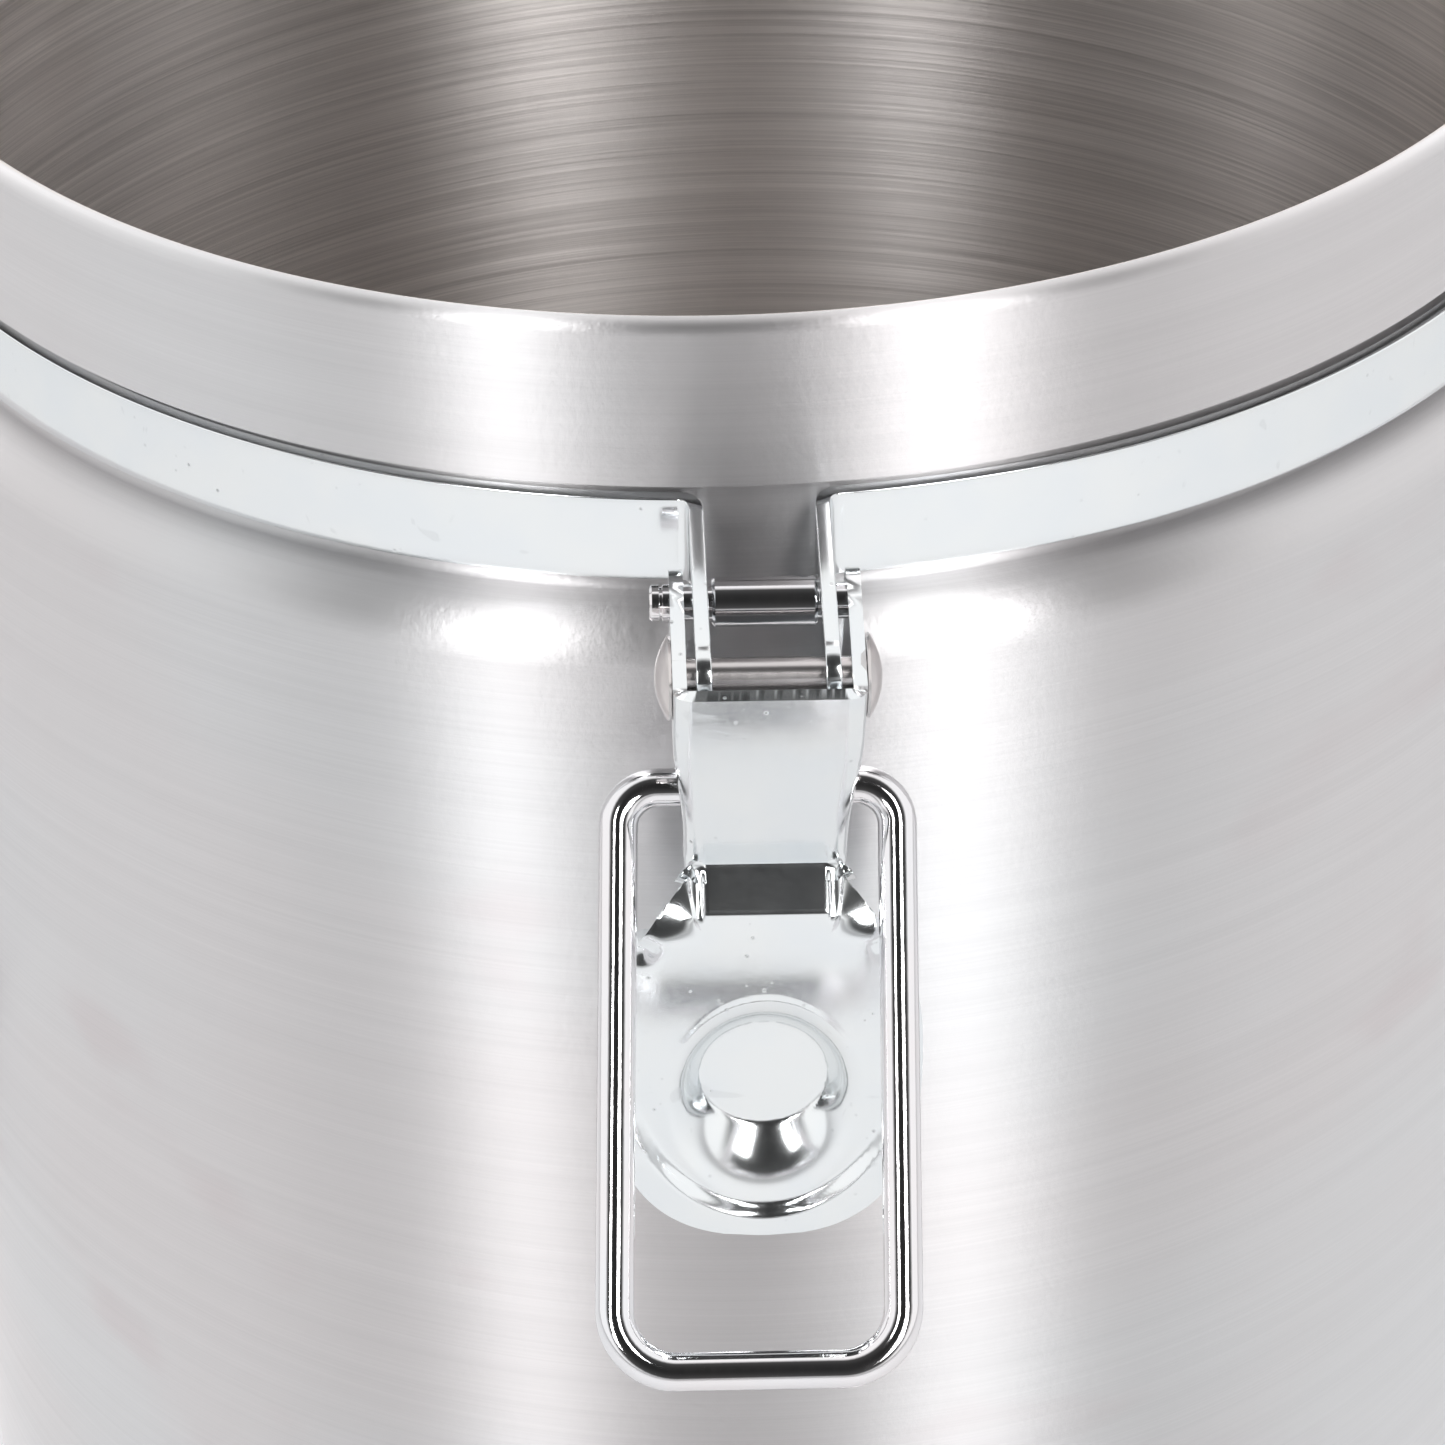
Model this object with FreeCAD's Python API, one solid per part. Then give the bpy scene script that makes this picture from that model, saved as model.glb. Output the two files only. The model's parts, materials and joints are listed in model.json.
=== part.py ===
import FreeCAD, Part
import os
from math import cos, radians, sin, sqrt, tan

V = FreeCAD.Vector

# Stainless steel milk can with a latched, hinged lid, in millimetres.
# The origin is the centre of the base where it stands, +Z is up, and the latch faces -Y.
# Latch places are (reach, drop): reach is measured out from the can's axis, drop down from the rim.

# can
can_height = 375.0
body_radius = 135.0
neck_radius = 125.4
sheet = 1.0
rim_hem = 3.6
hem_drop = 24.2
shoulder_drop = 41.0
shoulder_fall = 2.0
shoulder_bend = 7.0
neck_bend = 1.5
foot_height = 26.0
foot_sheet = 2.0
foot_flange = 12.0
foot_bend = 3.5
wall_start = 4.2
bottom_level = 14.0
bottom_bend = 5.0
weld_gap = 0.05

# clamp band
band_top_drop = 26.2
band_height = 12.4
band_sheet = 2.0
band_clearance = 0.4
band_slack = 2.0
ear_inside = 7.2
ear_lobe = 5.0
ear_eye_play = 0.4
ear_seat_gap = 0.45
ear_root = 0.3
rear_rise = 2.0

# lever, which hangs a little askew on its rivet
latch_tilt = 1.7
pivot = (150.8, 38.5)
pivot_radius = 2.55
fit_gap = 0.05
lever_sheet = 1.8
lever_half_width = 12.3
neck_half_width = 10.6
web_top = (159.2, 36.5)
web_end = (150.5, 68.2)
pad_top = (155.5, 72.7)
lip_start = (155.5, 117.5)
lip_turn = (158.6, 121.5)
lip_end = (158.6, 125.8)
lever_bends = [6.0, 3.0, 3.0, 2.5]
pad_half_width = 21.0
cheek_lobe = 4.3
bail_lobe = 5.2
rivet_head_radius = 5.5
rivet_head_height = 2.1
rivet_overlap = 0.15

# cross pin that stops the lever against the ears
pin_place = (138.0, 35.5)
pin_radius = 2.35
sleeve_radius = 3.25
pin_left_end = 14.8
pin_bore_radius = 1.1
pin_bore_depth = 1.4

# bail
bail_place = (144.0, 60.4)
wire_radius = 2.55
bail_length = 75.7
bail_half_width = 18.2
bail_splay = 0.5
bail_shift = -0.85
bail_drift = -1.4
bail_turn_in = 5.2
bail_lean = 42.0
bail_corner = 8.0
bail_tail = 10.2

# lid, hinge and strap, drawn closed and then opened
lid_open_angle = 115.0
lid_skirt_inside = 129.6
lid_skirt_drop = 6.0
lid_ring_rise = 5.0
lid_crown_rise = 8.7
lid_crown_radius = 95.0
lid_step_radius = 106.0
lid_edge_bend = 2.0
lid_step_bend = 4.0
gasket_inside = 121.0
gasket_outside = 128.4
gasket_lift = 0.4
strap_half_width = 12.5
strap_sheet = 3.0
strap_eye_half_width = 6.9
strap_neck = 128.0
hinge_place = (146.0, 18.0)
hinge_bolt_radius = 3.0
hinge_bush_radius = 5.0
hinge_eye_radius = 7.0
heel_length = 13.0
hook_reach = 147.0
hook_rise = 17.6
strap_rivet_places = (-60.0, 60.0)
strap_rivet_radius = 3.0
strap_bends = [6.0, 2.0]
hinge_head = 10.0
hinge_nut_length = 5.0
washer_radius = 6.0
washer_sheet = 1.2
slip = 0.02

# side handles
handle_drop = 120.0
handle_wire = 4.0
handle_reach = 143.6
handle_half_span = 55.0
handle_hang = 58.0
handle_corner = 18.0
barrel_wall = 1.8
bracket_half_span = 30.0
bracket_half_height = 16.0
bracket_sheet = 1.6
bracket_rivet_radius = 2.5
bracket_rivet_turn = 11.0
bracket_rivet_lift = 11.0

rim = can_height


def out_down(place, x=0.0):
    """Turns a (reach, drop) place on the latch side into a point."""
    return V(x, -place[0], rim - place[1])


def corner(before, at, after, radius):
    """Gives where a bend of this radius starts, its middle and its end."""
    to_before = (before - at).normalize()
    to_after = (after - at).normalize()
    half = to_before.getAngle(to_after) / 2
    back = radius / tan(half)
    middle_way = (to_before + to_after).normalize()
    middle = at + middle_way * (radius / sin(half) - radius)
    return at + to_before * back, middle, at + to_after * back


def bent_edges(points, radii):
    """Joins points with straight edges and puts an arc of the given radius at each inner one."""
    edges = []
    start = points[0]
    for before, at, after, radius in zip(points, points[1:], points[2:], radii):
        if radius <= 0:
            edges.append(Part.makeLine(start, at))
            start = at
            continue
        first, middle, last = corner(before, at, after, radius)
        if start.distanceToPoint(first) > 1e-6:
            edges.append(Part.makeLine(start, first))
        edges.append(Part.Arc(first, middle, last).toShape())
        start = last
    edges.append(Part.makeLine(start, points[-1]))
    return edges


def left_of(points, distance, normal):
    """Moves a bent path sideways by a distance, with its corners kept sharp."""
    sides = []
    for a, b in zip(points, points[1:]):
        sides.append(normal.cross((b - a).normalize()))
    moved = [points[0] + sides[0] * distance]
    for at, one, two in zip(points[1:], sides, sides[1:]):
        between = (one + two).normalize()
        moved.append(at + between * (distance / between.dot(one)))
    moved.append(points[-1] + sides[-1] * distance)
    return moved


def sheet_face(points, radii, thickness, normal):
    """Makes the section of a bent sheet whose right-hand face follows the points."""
    turns = []
    for before, at, after in zip(points, points[1:], points[2:]):
        turns.append(normal.dot((at - before).cross(after - at)))
    inner = []
    for radius, turn in zip(radii, turns):
        other = radius - thickness if turn > 0 else radius + thickness
        inner.append(max(other, 0.0) if radius > 0 else 0.0)
    far = left_of(points, thickness, normal)
    edges = bent_edges(points, radii)
    edges.append(Part.makeLine(points[-1], far[-1]))
    edges += bent_edges(far[::-1], inner[::-1])
    edges.append(Part.makeLine(far[0], points[0]))
    return Part.Face(Part.Wire(edges))


def turned(points, radii, thickness):
    """Spins a bent sheet, given by (radius, height) points on its right-hand face, about the axis."""
    section = sheet_face([V(r, 0, z) for r, z in points], radii, thickness, V(0, -1, 0))
    return section.revolve(V(0, 0, 0), V(0, 0, 1), 360)


def ring(inside, outside, low, high):
    hole = Part.makeCylinder(inside, high - low, V(0, 0, low))
    return Part.makeCylinder(outside, high - low, V(0, 0, low)).cut(hole)


def rod(radius, start, end):
    return Part.makeCylinder(radius, (end - start).Length, start, end - start)


def plate(points, thickness_vector):
    """Raises a flat plate from the outline of its points."""
    return Part.Face(Part.makePolygon(list(points) + [points[0]])).extrude(thickness_vector)


def wire_along(points, radii, radius):
    """Sweeps a round wire along straight runs joined by bends."""
    path = Part.Wire(bent_edges(points, radii))
    start = points[0]
    way = points[1] - points[0]
    section = Part.Wire([Part.makeCircle(radius, start, way)])
    return path.makePipeShell([section], True, False)


def dome(radius, height, centre, way):
    """Makes a domed head of a rivet that stands on its centre."""
    ball = (radius * radius + height * height) / (2 * height)
    whole = Part.makeSphere(ball, centre - way * (ball - height))
    return whole.common(rod(radius, centre, centre + way * (height + 1)))


def fused(shapes):
    whole = shapes[0]
    for shape in shapes[1:]:
        whole = whole.fuse(shape)
    return whole.removeSplitter()


def save(name, shape):
    solids = shape.Solids
    held = solids[0] if len(solids) == 1 else Part.makeCompound(solids)
    held.exportStep("parts/" + name + ".step")
    box = held.BoundBox
    print(name, len(solids), held.isValid(), round(held.Volume / 1000, 2), "cm3",
          [round(v, 1) for v in (box.XMin, box.XMax, box.YMin, box.YMax, box.ZMin, box.ZMax)])


# ---------------------------------------------------------------- can

def can_shell():
    hem_outside = neck_radius - sheet + rim_hem
    curl = rim_hem / 2 - sheet - 0.01
    wall = [
        (body_radius, wall_start),
        (body_radius, rim - shoulder_drop - shoulder_fall),
        (neck_radius, rim - shoulder_drop),
        (neck_radius, rim - sheet),
        (hem_outside - sheet, rim - sheet),
        (hem_outside - sheet, rim - hem_drop),
    ]
    return turned(wall, [shoulder_bend, neck_bend, curl, curl], sheet)


def can_bottom():
    outside = body_radius - sheet - weld_gap
    wall = [(outside, wall_start), (outside, bottom_level), (0.0, bottom_level)]
    return turned(wall, [bottom_bend], sheet)


def foot_ring():
    inside = body_radius + weld_gap
    wall = [
        (inside + foot_sheet - foot_flange, 0.0),
        (inside + foot_sheet, 0.0),
        (inside + foot_sheet, foot_height),
    ]
    return turned(wall, [foot_bend], foot_sheet)


# ---------------------------------------------------------------- clamp band

def ear_span(side):
    """Gives where an ear's face starts along X, and its sheet as a vector."""
    start = ear_inside if side > 0 else -ear_inside - band_sheet
    return start, V(band_sheet, 0, 0)


def bored(shape, radius, centre):
    """Drills a hole along X right through a shape."""
    reach = V(40, 0, 0)
    return shape.cut(rod(radius, centre - reach, centre + reach))


def front_ear(side):
    """The bent-out front end of one half of the band, with its eye and the seat of the cross pin."""
    top = rim - band_top_drop
    start = -(neck_radius + band_clearance + ear_root)
    eye = out_down(pivot)
    seat = out_down(pin_place)
    x, across = ear_span(side)
    seat_radius = pin_radius + ear_seat_gap
    outline = [
        V(x, start, top),
        V(x, start - 3.0, top),
        V(x, eye.y, eye.z + ear_lobe),
        V(x, eye.y, eye.z - ear_lobe),
        V(x, seat.y - seat_radius - 0.8, seat.z - 0.6),
        V(x, seat.y, seat.z),
        V(x, seat.y + seat_radius + 1.2, seat.z + 0.4),
        V(x, start - 2.0, top - band_height),
        V(x, start, top - band_height),
    ]
    lobe = rod(ear_lobe, V(x, eye.y, eye.z), V(x, eye.y, eye.z) + across)
    ear = bored(fused([plate(outline, across), lobe]), pivot_radius + ear_eye_play, eye)
    return bored(ear, seat_radius, seat)


def rear_ear(side):
    """The bent-out rear end, with the hinge eye and the heel that the opened strap leans on."""
    top = rim - band_top_drop
    low = top - band_height
    start = neck_radius + band_clearance + ear_root
    eye = hinge_line(0)
    x, across = ear_span(side)
    body = plate([
        V(x, start, top),
        V(x, start + 6.0, top + rear_rise),
        V(x, eye.y, eye.z + hinge_eye_radius),
        V(x, eye.y, eye.z - hinge_eye_radius),
        V(x, start + 4.0, low),
        V(x, start, low),
    ], across)
    lobe = rod(hinge_eye_radius, V(x, eye.y, eye.z), V(x, eye.y, eye.z) + across)
    tilt = radians(lid_open_angle)
    along = V(0, sin(tilt), cos(tilt))
    below = V(0, cos(tilt), -sin(tilt))
    lean_gap = strap_sheet / 2 + 0.3
    foot = V(x, eye.y, eye.z) + below * lean_gap
    deep = hinge_eye_radius - lean_gap
    heel = plate([
        foot,
        foot + along * heel_length,
        foot + along * (heel_length - 3.0) + below * deep,
        foot + below * deep,
    ], across)
    return bored(fused([body, lobe, heel]), hinge_bolt_radius + slip, eye)


def band(side):
    """One half of the clamp band; the right half stands off the neck a little."""
    shift = V(band_slack if side > 0 else 0.0, 0, 0)
    inside = neck_radius + band_clearance
    low = rim - band_top_drop - band_height
    hoop = ring(inside, inside + band_sheet, low, low + band_height)
    hoop.translate(shift)
    span = inside + band_sheet + 5
    edge = ear_inside if side > 0 else -span - ear_inside
    half = Part.makeBox(span, 2 * span, band_height + 10, V(edge, -span, low - 5))
    return fused([hoop.common(half), front_ear(side), rear_ear(side)])


# ---------------------------------------------------------------- lever and bail

def hung(shape):
    """Turns a piece of the latch, drawn upright, to where it hangs askew about the rivet."""
    shape.rotate(out_down(pivot), V(0, 1, 0), latch_tilt)
    return shape


def lever_cheek(side):
    x = (lever_half_width - lever_sheet) * side
    across = V(lever_sheet * side, 0, 0)
    pin = out_down(pin_place, x)
    eye = out_down(bail_place, x)
    side_wall = plate([
        V(x, pin.y, pin.z + cheek_lobe),
        out_down((web_top[0] - 0.6, web_top[1] + 0.2), x),
        out_down((web_end[0] - 0.4, web_end[1] - 0.5), x),
        V(x, eye.y - 1, eye.z - bail_lobe),
        V(x, eye.y + bail_lobe - 0.6, eye.z + 1.0),
        V(x, pin.y + 1.0, pin.z - cheek_lobe),
    ], across)
    return fused([side_wall, rod(cheek_lobe, pin, pin + across), rod(bail_lobe, eye, eye + across)])


def lever():
    """A channel bent from sheet that runs out into an oval thumb pad with a turned-out lip."""
    places = [web_top, web_end, pad_top, lip_start, lip_turn, lip_end]
    path = [out_down(place, -pad_half_width) for place in places]
    strip = sheet_face(path, lever_bends, -lever_sheet, V(-1, 0, 0)).extrude(V(2 * pad_half_width, 0, 0))
    front = -pivot[0] - 2 * pad_half_width
    end = rim - web_end[1]
    neck_low = rim - pad_top[1] - 9.0
    web = plate([
        V(-lever_half_width, front, rim - web_top[1] + 1),
        V(lever_half_width, front, rim - web_top[1] + 1),
        V(neck_half_width, front, end),
        V(neck_half_width, front, neck_low),
        V(-neck_half_width, front, neck_low),
        V(-neck_half_width, front, end),
    ], V(0, -front, 0))
    half_height = (lip_end[1] - pad_top[1]) / 2
    oval = Part.makeCylinder(pad_half_width, -front, V(0, 0, 0), V(0, 1, 0))
    stretch = FreeCAD.Matrix()
    stretch.scale(1, 1, half_height / pad_half_width)
    oval = oval.transformGeometry(stretch)
    oval.translate(V(0, front, rim - pad_top[1] - half_height))
    whole = fused([strip.common(web.fuse(oval)), lever_cheek(1), lever_cheek(-1)])
    whole = bored(whole, pivot_radius + fit_gap, out_down(pivot))
    whole = bored(whole, pin_radius + slip, out_down(pin_place))
    return hung(bored(whole, wire_radius + fit_gap, out_down(bail_place)))


def lever_rivet():
    half = lever_half_width + 0.12
    end = half + rivet_overlap
    pieces = [rod(pivot_radius, out_down(pivot, -end), out_down(pivot, end))]
    for side in (1, -1):
        seat = out_down(pivot, side * half)
        pieces.append(dome(rivet_head_radius, rivet_head_height, seat, V(side, 0, 0)))
    return hung(fused(pieces))


def stop_pin():
    start = out_down(pin_place, -pin_left_end)
    pin = rod(pin_radius, start, out_down(pin_place, lever_half_width))
    return hung(pin.cut(rod(pin_bore_radius, start, start + V(pin_bore_depth, 0, 0))))


def stop_sleeve():
    half = ear_inside - 0.4
    start = out_down(pin_place, -half)
    end = out_down(pin_place, half)
    return hung(rod(sleeve_radius, start, end).cut(rod(pin_radius + slip, start, end)))


def bail():
    """The wire bail, hanging with its arms against the thumb pad, shifted and bent to the left."""
    lean = radians(bail_lean)
    foot = (bail_place[0] + bail_length * sin(lean), bail_place[1] + bail_length * cos(lean))
    wide = bail_half_width + bail_splay
    low = bail_shift + bail_drift
    points = [
        out_down(bail_place, bail_shift - bail_tail),
        out_down(bail_place, bail_shift - bail_half_width),
        out_down(foot, low - wide),
        out_down(foot, low + wide),
        out_down(bail_place, bail_shift + bail_half_width),
        out_down(bail_place, bail_shift + bail_tail),
    ]
    return hung(wire_along(points, [bail_turn_in, bail_corner, bail_corner, bail_turn_in], wire_radius))


# ---------------------------------------------------------------- lid and hinge

def hinge_line(x):
    return V(x, hinge_place[0], rim - hinge_place[1])


def opened(shape):
    """Turns a piece of the lid, drawn closed, about the hinge to where it stands open."""
    shape.rotate(hinge_line(0), V(-1, 0, 0), lid_open_angle)
    return shape


def strap_rivet_holes():
    holes = [rod(strap_rivet_radius + slip, V(0, y, rim), V(0, y, rim + 20)) for y in strap_rivet_places]
    return Part.makeCompound(holes)


def lid():
    outside = lid_skirt_inside + sheet
    wall = [
        (outside, rim - lid_skirt_drop),
        (outside, rim + lid_ring_rise),
        (lid_step_radius, rim + lid_ring_rise),
        (lid_crown_radius, rim + lid_crown_rise),
        (0.0, rim + lid_crown_rise),
    ]
    pressed = turned(wall, [lid_edge_bend, lid_step_bend, lid_step_bend], sheet)
    return opened(pressed.cut(strap_rivet_holes()))


def lid_gasket():
    top = rim + lid_ring_rise - sheet - weld_gap
    return opened(ring(gasket_inside, gasket_outside, rim + gasket_lift, top))


def lid_strap():
    """The flat strap over the lid, from the hinge eye to the hook for the bail."""
    eye = hinge_line(0)
    top = rim + lid_crown_rise + weld_gap + strap_sheet
    back = hinge_place[0] + strap_sheet / 2
    half = strap_half_width
    path = [
        V(-half, back, eye.z),
        V(-half, back, top),
        V(-half, -hook_reach, top),
        V(-half, -hook_reach, rim + hook_rise),
    ]
    strip = sheet_face(path, strap_bends, strap_sheet, V(1, 0, 0)).extrude(V(2 * half, 0, 0))
    shoulder = eye.z + hinge_eye_radius + 2.0
    low = eye.z - 20
    beside = V(strap_eye_half_width, strap_neck, low)
    gap = Part.makeBox(half - strap_eye_half_width, 60, shoulder - low, beside)
    mirror = gap.mirror(V(0, 0, 0), V(1, 0, 0))
    end = V(strap_eye_half_width, 0, 0)
    hub = rod(hinge_eye_radius - 0.2, eye - end, eye + end)
    whole = bored(fused([strip.cut(gap).cut(mirror), hub]), hinge_bush_radius + slip, eye)
    return opened(whole.cut(strap_rivet_holes()))


def strap_rivets():
    under = rim + lid_crown_rise - sheet
    over = rim + lid_crown_rise + weld_gap + strap_sheet
    rivets = []
    for y in strap_rivet_places:
        shank = rod(strap_rivet_radius, V(0, y, under - 0.2), V(0, y, over + 0.2))
        above = dome(5.5, 2.4, V(0, y, over + 0.02), V(0, 0, 1))
        below = dome(5.0, 1.6, V(0, y, under - 0.02), V(0, 0, -1))
        rivets.append(fused([shank, above, below]))
    return opened(Part.makeCompound(rivets))


def hinge_bush():
    half = strap_eye_half_width + 0.1
    tube = rod(hinge_bush_radius, hinge_line(-half), hinge_line(half))
    return opened(tube.cut(rod(hinge_bolt_radius + fit_gap, hinge_line(-half), hinge_line(half))))


def hexagon(across_flats, start, length, way):
    corner_radius = across_flats / sqrt(3)
    points = []
    for step in range(6):
        angle = radians(60 * step)
        points.append(start + V(0, corner_radius * cos(angle), corner_radius * sin(angle)))
    return plate(points, V(length * way, 0, 0))


washer_start = ear_inside + band_sheet + weld_gap
washer_end = washer_start + washer_sheet


def hinge_bolt():
    seat = washer_end + weld_gap
    shank = rod(hinge_bolt_radius, hinge_line(-seat - hinge_nut_length - 2.0), hinge_line(seat + 0.5))
    return fused([shank, hexagon(hinge_head, hinge_line(seat), hinge_nut_length - 1.0, 1)])


def hinge_nut():
    nut = hexagon(hinge_head, hinge_line(-washer_end - weld_gap), hinge_nut_length, -1)
    return bored(nut, hinge_bolt_radius + slip, hinge_line(0))


def hinge_washers():
    washers = []
    for side in (1, -1):
        washer = rod(washer_radius, hinge_line(side * washer_start), hinge_line(side * washer_end))
        washers.append(bored(washer, hinge_bolt_radius + 2 * fit_gap, hinge_line(0)))
    return Part.makeCompound(washers)


# ---------------------------------------------------------------- side handles

def handle_bracket(side):
    """A saddle on the can's wall with a rolled barrel that holds the handle's top bar."""
    height = rim - handle_drop
    inside = body_radius + weld_gap
    low = height - bracket_half_height
    saddle = ring(inside, inside + bracket_sheet, low, low + 2 * bracket_half_height)
    window = Part.makeBox(160, 2 * bracket_half_span, 80, V(0, -bracket_half_span, height - 40))
    saddle = saddle.common(window)
    barrel_radius = handle_wire + fit_gap + barrel_wall
    half = bracket_half_span - 6
    barrel = rod(barrel_radius, V(handle_reach, -half, height), V(handle_reach, half, height))
    corner_at = V(inside - 3, -half, height + handle_wire)
    web = Part.makeBox(handle_reach - corner_at.x, 2 * half, barrel_wall, corner_at)
    web = web.cut(Part.makeCylinder(inside + 0.2, 200, V(0, 0, height - 100)))
    whole = fused([saddle, barrel, web])
    bar = V(0, 2 * half, 0)
    axle = V(handle_reach, 0, height)
    whole = whole.cut(rod(handle_wire + fit_gap, axle - bar, axle + bar))
    for point in rivet_points():
        out = V(point.x, point.y, 0).normalize() * 10
        whole = whole.cut(rod(bracket_rivet_radius + slip, point - out, point + out))
    return whole if side > 0 else whole.rotate(V(0, 0, 0), V(0, 0, 1), 180)


def rivet_points():
    """Places of the four rivets of a bracket, on the can's wall at +X."""
    height = rim - handle_drop
    turn = radians(bracket_rivet_turn)
    points = []
    for way in (1, -1):
        for lift in (bracket_rivet_lift, -bracket_rivet_lift):
            points.append(V(body_radius * cos(turn), way * body_radius * sin(turn), height + lift))
    return points


def bracket_rivets(side):
    rivets = []
    for point in rivet_points():
        out = V(point.x, point.y, 0).normalize()
        foot = point + out * (weld_gap + bracket_sheet + slip)
        rivets.append(dome(4.2, 1.8, foot, out))
    group = Part.makeCompound(rivets)
    if side < 0:
        group.rotate(V(0, 0, 0), V(0, 0, 1), 180)
    return group


def handle(side):
    """A closed drop handle of round rod, hanging from its top bar."""
    height = rim - handle_drop
    low = height - handle_hang
    span = handle_half_span
    start = V(handle_reach, 0, height)
    points = [
        start,
        V(handle_reach, span, height),
        V(handle_reach, span - 4, low),
        V(handle_reach, -span + 4, low),
        V(handle_reach, -span, height),
        start,
    ]
    loop = wire_along(points, [9.0, handle_corner, handle_corner, 9.0], handle_wire)
    return loop if side > 0 else loop.rotate(V(0, 0, 0), V(0, 0, 1), 180)


os.makedirs("parts", exist_ok=True)
save("can_shell", can_shell())
save("can_bottom", can_bottom())
save("foot_ring", foot_ring())
save("lever", lever())
save("lever_rivet", lever_rivet())
save("stop_pin", stop_pin())
save("stop_sleeve", stop_sleeve())
save("bail", bail())
save("lid", lid())
save("lid_gasket", lid_gasket())
save("lid_strap", lid_strap())
save("strap_rivets", strap_rivets())
save("hinge_bush", hinge_bush())
save("hinge_bolt", hinge_bolt())
save("hinge_nut", hinge_nut())
save("hinge_washers", hinge_washers())
for name, side in (("left", -1), ("right", 1)):
    save("band_" + name, band(side))
    save("handle_bracket_" + name, handle_bracket(side))
    save("bracket_rivets_" + name, bracket_rivets(side))
    save("handle_" + name, handle(side))
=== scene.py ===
import json
from math import asin, cos, exp, pi, radians, sin, sqrt, tan

import bmesh
import bpy
from mathutils import Matrix, Vector


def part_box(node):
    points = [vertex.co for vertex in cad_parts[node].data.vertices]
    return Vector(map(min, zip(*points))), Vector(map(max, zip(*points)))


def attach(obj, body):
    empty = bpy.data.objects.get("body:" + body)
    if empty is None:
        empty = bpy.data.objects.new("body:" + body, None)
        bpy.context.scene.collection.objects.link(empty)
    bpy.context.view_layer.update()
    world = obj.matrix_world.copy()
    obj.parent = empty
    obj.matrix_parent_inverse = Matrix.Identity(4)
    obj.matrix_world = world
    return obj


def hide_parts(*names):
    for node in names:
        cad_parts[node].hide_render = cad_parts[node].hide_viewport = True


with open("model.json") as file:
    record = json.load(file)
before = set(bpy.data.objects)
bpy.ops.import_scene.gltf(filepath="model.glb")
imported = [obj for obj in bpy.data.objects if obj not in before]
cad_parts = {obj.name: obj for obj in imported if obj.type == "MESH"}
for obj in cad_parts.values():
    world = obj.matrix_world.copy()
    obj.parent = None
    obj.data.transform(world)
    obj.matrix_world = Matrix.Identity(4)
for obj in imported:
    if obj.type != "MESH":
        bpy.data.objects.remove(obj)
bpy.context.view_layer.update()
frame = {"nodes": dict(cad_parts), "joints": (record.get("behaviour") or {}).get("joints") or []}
nodes = frame["nodes"]
jointPlace = {j["name"]: Vector(j["pos_m"]) for j in frame["joints"]}
jointAxis = {j["name"]: Vector(j["axis"]) for j in frame["joints"]}
mm = 0.001

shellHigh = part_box("can_shell")[1]
rim = shellHigh.z                              # top of the rolled mouth
bodyRadius = shellHigh.x


# shader work: a socket that can be added, multiplied and so on

class Signal:
    def __init__(self, finish, socket):
        self.finish = finish
        self.socket = socket

    def joined(self, operation, first, second):
        return self.finish.add("ShaderNodeMath", {"operation": operation}, {0: first, 1: second})

    def __add__(self, other):
        return self.joined("ADD", self, other)

    def __radd__(self, other):
        return self.joined("ADD", other, self)

    def __sub__(self, other):
        return self.joined("SUBTRACT", self, other)

    def __rsub__(self, other):
        return self.joined("SUBTRACT", other, self)

    def __mul__(self, other):
        return self.joined("MULTIPLY", self, other)

    def __rmul__(self, other):
        return self.joined("MULTIPLY", other, self)

    def __pow__(self, other):
        return self.joined("POWER", self, other)


class Finish:
    def __init__(self, name):
        self.material = bpy.data.materials.new(name)
        self.material.use_nodes = True
        self.tree = self.material.node_tree
        self.tree.nodes.clear()
        self.place = None

    def add(self, kind, settings=None, inputs=None, output=0):
        node = self.tree.nodes.new(kind)
        for key, value in (settings or {}).items():
            setattr(node, key, value)
        for key, value in (inputs or {}).items():
            socket = node.inputs[key]
            if isinstance(value, Signal):
                self.tree.links.new(value.socket, socket)
            else:
                socket.default_value = (*value, 1.0) if socket.type == "RGBA" else value
        return Signal(self, node.outputs[output]) if output is not None else node

    def where(self):
        if self.place is None:
            self.place = self.add("ShaderNodeTexCoord", output="Object")
        return self.place

    def stretched(self, scale, location=(0.0, 0.0, 0.0), rotation=(0.0, 0.0, 0.0)):
        return self.add("ShaderNodeMapping", None,
                        {"Vector": self.where(), "Location": location, "Rotation": rotation, "Scale": scale})

    def noise(self, vector, scale, detail, roughness, distortion=0.0):
        return self.add("ShaderNodeTexNoise", None,
                        {"Vector": vector, "Scale": scale, "Detail": detail, "Roughness": roughness,
                         "Distortion": distortion}, "Fac")

    def spots(self, vector, scale):
        return self.add("ShaderNodeTexVoronoi", {"feature": "F1"},
                        {"Vector": vector, "Scale": scale, "Randomness": 1.0}, "Distance")

    def step(self, signal, low, high):
        return self.add("ShaderNodeMapRange", {"interpolation_type": "SMOOTHSTEP"},
                        {"Value": signal, "From Min": low, "From Max": high})

    def blend(self, factor, first, second):
        return self.add("ShaderNodeMix", {"data_type": "RGBA"}, {0: factor, 6: first, 7: second}, 2)

    def bump(self, height, distance):
        inputs = {"Height": height, "Distance": distance, "Strength": 1.0}
        return self.add("ShaderNodeBump", None, inputs, "Normal")

    def surface(self, **sockets):
        shader = self.add("ShaderNodeBsdfPrincipled", None,
                          {name.replace("_", " "): value for name, value in sockets.items()})
        self.add("ShaderNodeOutputMaterial", None, {"Surface": shader}, None)
        return self.material


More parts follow.
